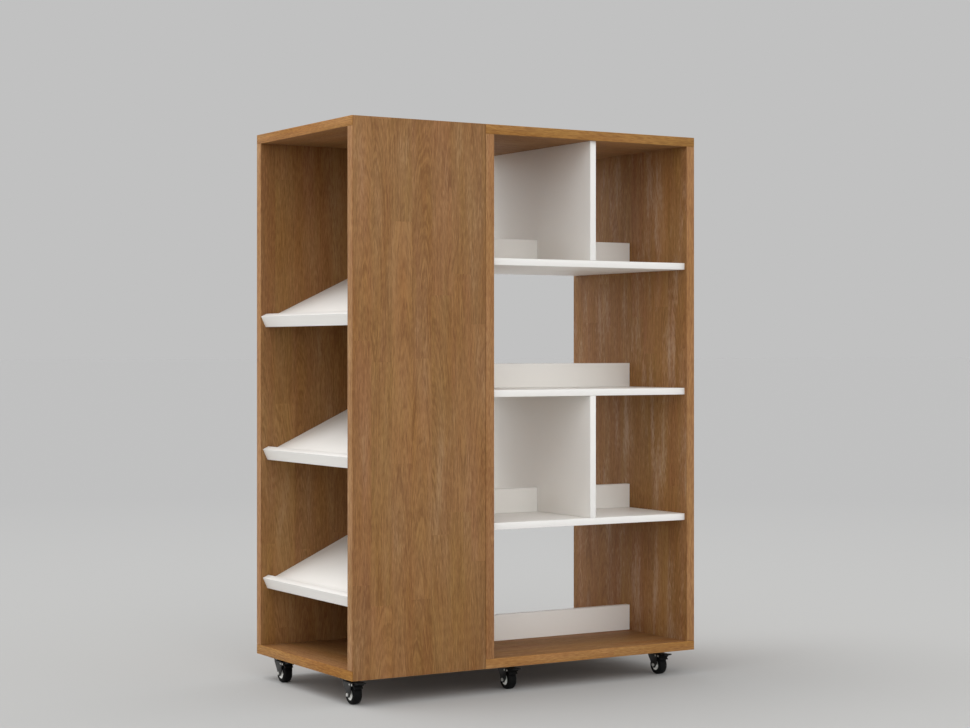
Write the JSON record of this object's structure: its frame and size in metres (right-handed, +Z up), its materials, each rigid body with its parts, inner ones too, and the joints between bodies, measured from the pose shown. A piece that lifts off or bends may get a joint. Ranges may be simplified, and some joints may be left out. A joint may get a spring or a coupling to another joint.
{
  "type": "double-sided mobile bookcase",
  "caption": "Library bookcase on braked casters: an open, see-through bookcase with shelves, dividers and low backstops, and an end tower with sloping lipped display shelves.",
  "frame": {"origin": "on the floor, below the centre of the overall box", "axes": "+Z up, +X along the unit from the display tower to the open bookcase, +Y from the pictured front to the rear"},
  "size_m": [1.0588, 0.56, 1.4741],
  "materials": {
    "oak": "oak-veneered board, matt lacquer",
    "oak_edging": "lighter solid oak lipping, matt lacquer",
    "white": "white melamine-faced board, satin",
    "caster_steel": "black-coated pressed steel",
    "zinc": "bright zinc plate",
    "tread": "black moulded tread on a light core",
    "brake": "black moulded nylon"
  },
  "bodies": {
    "carcass": {"tower_front_side": "oak", "tower_rear_side": "oak", "tower_top": "oak", "tower_base": "oak", "tower_back": "oak", "tower_edging": "oak_edging", "display_shelf_upper": "white", "display_shelf_middle": "white", "display_shelf_lower": "white", "display_lip_upper": "white", "display_lip_middle": "white", "display_lip_lower": "white", "bookcase_left_side": "oak", "bookcase_right_side": "oak", "bookcase_top": "oak", "bookcase_base": "oak", "front_edging": "oak_edging", "rear_edging": "oak_edging", "shelf_upper": "white", "shelf_middle": "white", "shelf_lower": "white", "divider_upper": "white", "divider_lower": "white", "backstop_top_left": "white", "backstop_top_right": "white", "backstop_second": "white", "backstop_third_left": "white", "backstop_third_right": "white", "backstop_bottom": "white", "caster_front_left_plate": "caster_steel", "caster_front_middle_plate": "caster_steel", "caster_front_right_plate": "caster_steel", "caster_rear_left_plate": "caster_steel", "caster_rear_middle_plate": "caster_steel", "caster_rear_right_plate": "caster_steel"},
    "caster_front_left_swivel_body": {"caster_front_left_fork": "caster_steel", "caster_front_left_axle": "zinc"},
    "caster_front_left_wheel_body": {"caster_front_left_wheel": "tread"},
    "caster_front_left_brake_body": {"caster_front_left_brake": "brake"},
    "caster_front_middle_swivel_body": {"caster_front_middle_fork": "caster_steel", "caster_front_middle_axle": "zinc"},
    "caster_front_middle_wheel_body": {"caster_front_middle_wheel": "tread"},
    "caster_front_middle_brake_body": {"caster_front_middle_brake": "brake"},
    "caster_front_right_swivel_body": {"caster_front_right_fork": "caster_steel", "caster_front_right_axle": "zinc"},
    "caster_front_right_wheel_body": {"caster_front_right_wheel": "tread"},
    "caster_front_right_brake_body": {"caster_front_right_brake": "brake"},
    "caster_rear_left_swivel_body": {"caster_rear_left_fork": "caster_steel", "caster_rear_left_axle": "zinc"},
    "caster_rear_left_wheel_body": {"caster_rear_left_wheel": "tread"},
    "caster_rear_left_brake_body": {"caster_rear_left_brake": "brake"},
    "caster_rear_middle_swivel_body": {"caster_rear_middle_fork": "caster_steel", "caster_rear_middle_axle": "zinc"},
    "caster_rear_middle_wheel_body": {"caster_rear_middle_wheel": "tread"},
    "caster_rear_middle_brake_body": {"caster_rear_middle_brake": "brake"},
    "caster_rear_right_swivel_body": {"caster_rear_right_fork": "caster_steel", "caster_rear_right_axle": "zinc"},
    "caster_rear_right_wheel_body": {"caster_rear_right_wheel": "tread"},
    "caster_rear_right_brake_body": {"caster_rear_right_brake": "brake"}
  },
  "joints": [
    {"name": "caster_front_left_swivel", "type": "hinge", "parent": "carcass", "child": "caster_front_left_swivel_body", "pos_m": [-0.4974, -0.2, 0.05], "axis": [0, 0, 1], "continuous": true},
    {"name": "caster_front_left_spin", "type": "hinge", "parent": "caster_front_left_swivel_body", "child": "caster_front_left_wheel_body", "pos_m": [-0.4974, -0.228, 0.025], "axis": [1, 0, 0], "continuous": true},
    {"name": "caster_front_left_brake", "type": "hinge", "parent": "caster_front_left_swivel_body", "child": "caster_front_left_brake_body", "pos_m": [-0.4974, -0.24799, 0.05201], "axis": [1, 0, 0], "range_deg": [0, 12]},
    {"name": "caster_front_middle_swivel", "type": "hinge", "parent": "carcass", "child": "caster_front_middle_swivel_body", "pos_m": [-0.0406, -0.2, 0.05], "axis": [0, 0, 1], "continuous": true},
    {"name": "caster_front_middle_spin", "type": "hinge", "parent": "caster_front_middle_swivel_body", "child": "caster_front_middle_wheel_body", "pos_m": [-0.0406, -0.228, 0.025], "axis": [1, 0, 0], "continuous": true},
    {"name": "caster_front_middle_brake", "type": "hinge", "parent": "caster_front_middle_swivel_body", "child": "caster_front_middle_brake_body", "pos_m": [-0.0406, -0.24799, 0.05201], "axis": [1, 0, 0], "range_deg": [0, 12]},
    {"name": "caster_front_right_swivel", "type": "hinge", "parent": "carcass", "child": "caster_front_right_swivel_body", "pos_m": [0.4464, -0.2, 0.05], "axis": [0, 0, 1], "continuous": true},
    {"name": "caster_front_right_spin", "type": "hinge", "parent": "caster_front_right_swivel_body", "child": "caster_front_right_wheel_body", "pos_m": [0.4464, -0.228, 0.025], "axis": [1, 0, 0], "continuous": true},
    {"name": "caster_front_right_brake", "type": "hinge", "parent": "caster_front_right_swivel_body", "child": "caster_front_right_brake_body", "pos_m": [0.4464, -0.24799, 0.05201], "axis": [1, 0, 0], "range_deg": [0, 12]},
    {"name": "caster_rear_left_swivel", "type": "hinge", "parent": "carcass", "child": "caster_rear_left_swivel_body", "pos_m": [-0.4974, 0.2, 0.05], "axis": [0, 0, 1], "continuous": true},
    {"name": "caster_rear_left_spin", "type": "hinge", "parent": "caster_rear_left_swivel_body", "child": "caster_rear_left_wheel_body", "pos_m": [-0.4974, 0.172, 0.025], "axis": [1, 0, 0], "continuous": true},
    {"name": "caster_rear_left_brake", "type": "hinge", "parent": "caster_rear_left_swivel_body", "child": "caster_rear_left_brake_body", "pos_m": [-0.4974, 0.15201, 0.05201], "axis": [1, 0, 0], "range_deg": [0, 12]},
    {"name": "caster_rear_middle_swivel", "type": "hinge", "parent": "carcass", "child": "caster_rear_middle_swivel_body", "pos_m": [-0.0406, 0.2, 0.05], "axis": [0, 0, 1], "continuous": true},
    {"name": "caster_rear_middle_spin", "type": "hinge", "parent": "caster_rear_middle_swivel_body", "child": "caster_rear_middle_wheel_body", "pos_m": [-0.0406, 0.172, 0.025], "axis": [1, 0, 0], "continuous": true},
    {"name": "caster_rear_middle_brake", "type": "hinge", "parent": "caster_rear_middle_swivel_body", "child": "caster_rear_middle_brake_body", "pos_m": [-0.0406, 0.15201, 0.05201], "axis": [1, 0, 0], "range_deg": [0, 12]},
    {"name": "caster_rear_right_swivel", "type": "hinge", "parent": "carcass", "child": "caster_rear_right_swivel_body", "pos_m": [0.4464, 0.2, 0.05], "axis": [0, 0, 1], "continuous": true},
    {"name": "caster_rear_right_spin", "type": "hinge", "parent": "caster_rear_right_swivel_body", "child": "caster_rear_right_wheel_body", "pos_m": [0.4464, 0.172, 0.025], "axis": [1, 0, 0], "continuous": true},
    {"name": "caster_rear_right_brake", "type": "hinge", "parent": "caster_rear_right_swivel_body", "child": "caster_rear_right_brake_body", "pos_m": [0.4464, 0.15201, 0.05201], "axis": [1, 0, 0], "range_deg": [0, 12]}
  ]
}
